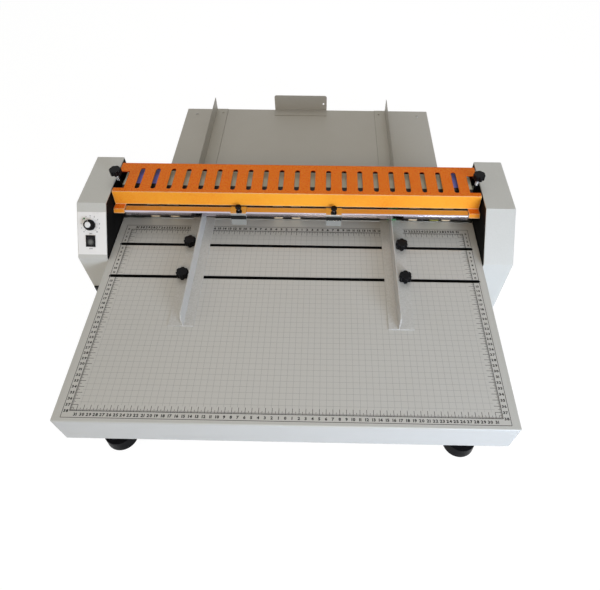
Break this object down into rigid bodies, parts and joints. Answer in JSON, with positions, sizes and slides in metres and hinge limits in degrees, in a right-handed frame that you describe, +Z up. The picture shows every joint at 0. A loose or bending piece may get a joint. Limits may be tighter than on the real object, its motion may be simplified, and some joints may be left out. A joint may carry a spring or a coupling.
{
  "type": "paper creasing machine",
  "caption": "Desktop paper creasing machine with a hinged slotted guard over the blade beam, a low feed table with clamped side guides, grey end housings and an output tray.",
  "frame": {"origin": "centre of the footprint, at desk level, under the feet", "axes": "+Y from the feed table towards the output tray, +X to the operator's right, +Z up"},
  "size_m": [0.8014, 0.9944, 0.2375],
  "materials": {
    "table_paint": "semi-gloss",
    "channel_steel": "satin",
    "leg_paint": "satin",
    "foot_rubber": "matte",
    "plate_black": "satin",
    "left_housing_paint": "fine texture",
    "right_housing_paint": "fine texture",
    "label_plate": "satin",
    "base_steel": "satin",
    "rod_steel": "turned",
    "die_steel": "ground",
    "matrix_steel": "ground",
    "bar_steel": "polished",
    "foam": "open-cell",
    "rear_paint": "satin",
    "tray_paint": "satin",
    "screw_steel": "zinc plated",
    "bush_brass": "turned",
    "motor_case": "satin",
    "switch_plastic": "matte",
    "board": "solder mask",
    "inlet_plastic": "matte",
    "pot_metal": "pressed",
    "beam_steel": "ground",
    "blade_steel": "ground",
    "end_plate_blue": "satin",
    "draw_bar_steel": "ground",
    "knob_plastic": "moulded",
    "cam_steel": "turned",
    "gear_steel": "machined",
    "cover_orange": "semi-gloss",
    "guide_paint": "satin",
    "nut_steel": "zinc plated",
    "hold_down_steel": "polished",
    "tray_guide_paint": "satin",
    "rear_stop_paint": "satin",
    "dial_plastic": "moulded",
    "rocker_plastic": "moulded"
  },
  "bodies": {
    "machine": {"feed_table": "table_paint", "slot_channels": "channel_steel", "front_legs": "leg_paint", "front_feet": "foot_rubber", "base_feet": "foot_rubber", "left_side_plate": "plate_black", "right_side_plate": "plate_black", "left_housing": "left_housing_paint", "right_housing": "right_housing_paint", "control_label_plate": "label_plate", "base_plate": "base_steel", "tie_rods": "rod_steel", "die_beam": "die_steel", "crease_matrix": "matrix_steel", "pressure_bar": "bar_steel", "sheet_pads": "foam", "rear_panel": "rear_paint", "rear_cover": "rear_paint", "output_tray": "tray_paint", "tray_feet": "foot_rubber", "button_screws": "screw_steel", "shaft_bushes": "bush_brass", "gear_motor": "motor_case", "limit_switch": "switch_plastic", "control_board": "board", "power_inlet": "inlet_plastic", "switch_body": "switch_plastic", "potentiometer": "pot_metal", "hinge_pins": "rod_steel", "table_brackets": "base_steel"},
    "beam": {"blade_beam": "beam_steel", "crease_blade": "blade_steel", "ejector_pads": "foam", "beam_end_plates": "end_plate_blue", "draw_bars": "draw_bar_steel"},
    "left_depth_screw": {"left_depth_knob": "knob_plastic"},
    "right_depth_screw": {"right_depth_knob": "knob_plastic"},
    "drive": {"main_shaft": "rod_steel", "eccentrics": "cam_steel", "drive_gear": "gear_steel", "stop_cam": "cam_steel"},
    "pinion": {"motor_pinion": "gear_steel"},
    "cover": {"top_cover": "cover_orange"},
    "left_guide": {"left_side_guide": "guide_paint", "left_guide_nuts": "nut_steel"},
    "left_rear_clamp": {"left_rear_clamp_knob": "knob_plastic"},
    "left_front_clamp": {"left_front_clamp_knob": "knob_plastic"},
    "right_guide": {"right_side_guide": "guide_paint", "right_guide_nuts": "nut_steel"},
    "right_rear_clamp": {"right_rear_clamp_knob": "knob_plastic"},
    "right_front_clamp": {"right_front_clamp_knob": "knob_plastic"},
    "left_hold": {"left_hold_down": "hold_down_steel"},
    "left_thumb": {"left_thumb_screw": "knob_plastic"},
    "right_hold": {"right_hold_down": "hold_down_steel"},
    "right_thumb": {"right_thumb_screw": "knob_plastic"},
    "left_rail": {"left_tray_guide": "tray_guide_paint"},
    "right_rail": {"right_tray_guide": "tray_guide_paint"},
    "stop": {"rear_stop": "rear_stop_paint"},
    "dial": {"speed_dial": "dial_plastic"},
    "rocker": {"power_rocker": "rocker_plastic"}
  },
  "joints": [
    {"name": "cover_hinge", "type": "hinge", "parent": "machine", "child": "cover", "pos_m": [0, 0.00175, 0.208], "axis": [-1, 0, 0], "range_deg": [0, 95]},
    {"name": "main_shaft_turn", "type": "hinge", "parent": "machine", "child": "drive", "pos_m": [0, -0.02425, 0.08], "axis": [1, 0, 0], "range_deg": [0, 180]},
    {"name": "beam_slide", "type": "slide", "parent": "machine", "child": "beam", "axis": [0, 0, 1], "range_m": [-0.007, 0]},
    {"name": "motor_turn", "type": "hinge", "parent": "machine", "child": "pinion", "pos_m": [-0.379, -0.06715, 0.044], "axis": [1, 0, 0], "range_deg": [-540, 0]},
    {"name": "left_depth_turn", "type": "hinge", "parent": "beam", "child": "left_depth_screw", "pos_m": [-0.338, -0.04125, 0.225], "axis": [0, 0, 1], "continuous": true},
    {"name": "right_depth_turn", "type": "hinge", "parent": "beam", "child": "right_depth_screw", "pos_m": [0.338, -0.04125, 0.225], "axis": [0, 0, 1], "continuous": true},
    {"name": "left_guide_slide", "type": "slide", "parent": "machine", "child": "left_guide", "axis": [1, 0, 0], "range_m": [-0.115, 0.025]},
    {"name": "left_rear_clamp_turn", "type": "hinge", "parent": "left_guide", "child": "left_rear_clamp", "pos_m": [-0.198, -0.13875, 0.142], "axis": [0, 0, 1], "continuous": true},
    {"name": "left_front_clamp_turn", "type": "hinge", "parent": "left_guide", "child": "left_front_clamp", "pos_m": [-0.198, -0.21775, 0.142], "axis": [0, 0, 1], "continuous": true},
    {"name": "right_guide_slide", "type": "slide", "parent": "machine", "child": "right_guide", "axis": [1, 0, 0], "range_m": [-0.07, 0.115]},
    {"name": "right_rear_clamp_turn", "type": "hinge", "parent": "right_guide", "child": "right_rear_clamp", "pos_m": [0.198, -0.13875, 0.142], "axis": [0, 0, 1], "continuous": true},
    {"name": "right_front_clamp_turn", "type": "hinge", "parent": "right_guide", "child": "right_front_clamp", "pos_m": [0.198, -0.21775, 0.142], "axis": [0, 0, 1], "continuous": true},
    {"name": "left_hold_slide", "type": "slide", "parent": "machine", "child": "left_hold", "axis": [1, 0, 0], "range_m": [-0.025, 0.06]},
    {"name": "left_thumb_turn", "type": "hinge", "parent": "left_hold", "child": "left_thumb", "pos_m": [-0.1075, -0.09175, 0.192], "axis": [0, 0, 1], "continuous": true},
    {"name": "right_hold_slide", "type": "slide", "parent": "machine", "child": "right_hold", "axis": [1, 0, 0], "range_m": [-0.06, 0.06]},
    {"name": "right_thumb_turn", "type": "hinge", "parent": "right_hold", "child": "right_thumb", "pos_m": [0.0705, -0.09175, 0.192], "axis": [0, 0, 1], "continuous": true},
    {"name": "left_rail_slide", "type": "slide", "parent": "machine", "child": "left_rail", "axis": [1, 0, 0], "range_m": [-0.045, 0.13]},
    {"name": "right_rail_slide", "type": "slide", "parent": "machine", "child": "right_rail", "axis": [1, 0, 0], "range_m": [-0.13, 0.08]},
    {"name": "rear_stop_slide", "type": "slide", "parent": "machine", "child": "stop", "axis": [0, 1, 0], "range_m": [-0.3, 0]},
    {"name": "speed_dial_turn", "type": "hinge", "parent": "machine", "child": "dial", "pos_m": [-0.3734, -0.13672, 0.18552], "axis": [0, -0.682, 0.7314], "range_deg": [-150, 150]},
    {"name": "power_rocker_tilt", "type": "hinge", "parent": "machine", "child": "rocker", "pos_m": [-0.3733, -0.15807, 0.16588], "axis": [1, 0, 0], "range_deg": [-8, 0]}
  ],
  "couplings": [
    {"joint": "main_shaft_turn", "follows": "beam_slide", "rad_per_m": -448.8},
    {"joint": "motor_turn", "follows": "beam_slide", "rad_per_m": 1346.4}
  ]
}
